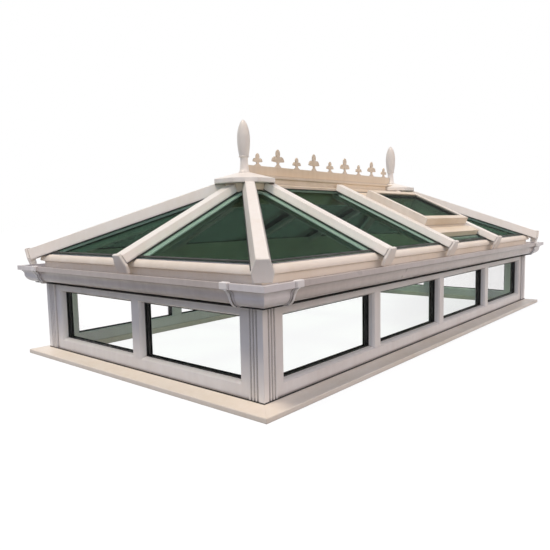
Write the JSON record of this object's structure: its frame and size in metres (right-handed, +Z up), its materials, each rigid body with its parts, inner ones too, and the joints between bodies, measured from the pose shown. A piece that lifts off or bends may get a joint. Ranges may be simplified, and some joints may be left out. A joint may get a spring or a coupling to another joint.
{
  "type": "roof lantern",
  "caption": "Hipped white roof lantern with glazed sides, tinted roof glass, ogee gutter, ridge cresting, finials and a closed roof vent.",
  "frame": {"origin": "middle of the footprint, on the underside of the sill", "axes": "+Z up; +X along the long sides; the front, with the roof vent, faces -Y"},
  "size_m": [3.206, 1.706, 1.1838],
  "materials": {
    "white_upvc": "satin extruded uPVC",
    "gutter_upvc": "gloss extruded uPVC",
    "tinted_roof_glass": "green tinted sealed unit",
    "clear_side_glass": "clear sealed unit"
  },
  "bodies": {
    "root": {"back_frame_rails": "white_upvc", "back_frame_uprights": "white_upvc", "back_glass": "clear_side_glass", "bar_caps_back": "white_upvc", "bar_caps_ends": "white_upvc", "bar_caps_front": "white_upvc", "cap_end_shields": "white_upvc", "corner_post_back_left": "white_upvc", "corner_post_back_right": "white_upvc", "corner_post_front_left": "white_upvc", "corner_post_front_right": "white_upvc", "cresting": "white_upvc", "eaves_beam_back": "white_upvc", "eaves_beam_front": "white_upvc", "eaves_beam_left": "white_upvc", "eaves_beam_right": "white_upvc", "finials": "white_upvc", "front_frame_rails": "white_upvc", "front_frame_uprights": "white_upvc", "front_glass": "clear_side_glass", "gutter_back": "gutter_upvc", "gutter_corner_back_left": "gutter_upvc", "gutter_corner_back_right": "gutter_upvc", "gutter_corner_front_left": "gutter_upvc", "gutter_corner_front_right": "gutter_upvc", "gutter_front": "gutter_upvc", "gutter_left": "gutter_upvc", "gutter_right": "gutter_upvc", "hip_bars": "white_upvc", "hip_caps": "white_upvc", "left_frame_rails": "white_upvc", "left_frame_uprights": "white_upvc", "left_glass": "clear_side_glass", "ridge_beam": "white_upvc", "ridge_cover": "white_upvc", "ridge_end_bosses": "white_upvc", "ridge_end_hubs": "white_upvc", "ridge_end_skirts": "white_upvc", "right_frame_rails": "white_upvc", "right_frame_uprights": "white_upvc", "right_glass": "clear_side_glass", "roof_bars_back": "white_upvc", "roof_bars_ends": "white_upvc", "roof_bars_front": "white_upvc", "roof_glass_back": "tinted_roof_glass", "roof_glass_front": "tinted_roof_glass", "roof_glass_left": "tinted_roof_glass", "roof_glass_right": "tinted_roof_glass", "sill_back": "white_upvc", "sill_front": "white_upvc", "sill_left": "white_upvc", "sill_right": "white_upvc", "vent_frame_rails": "white_upvc", "vent_frame_stiles": "white_upvc", "vent_glass": "tinted_roof_glass", "vent_sash_rails": "white_upvc", "vent_sash_stiles": "white_upvc"}
  },
  "joints": []
}
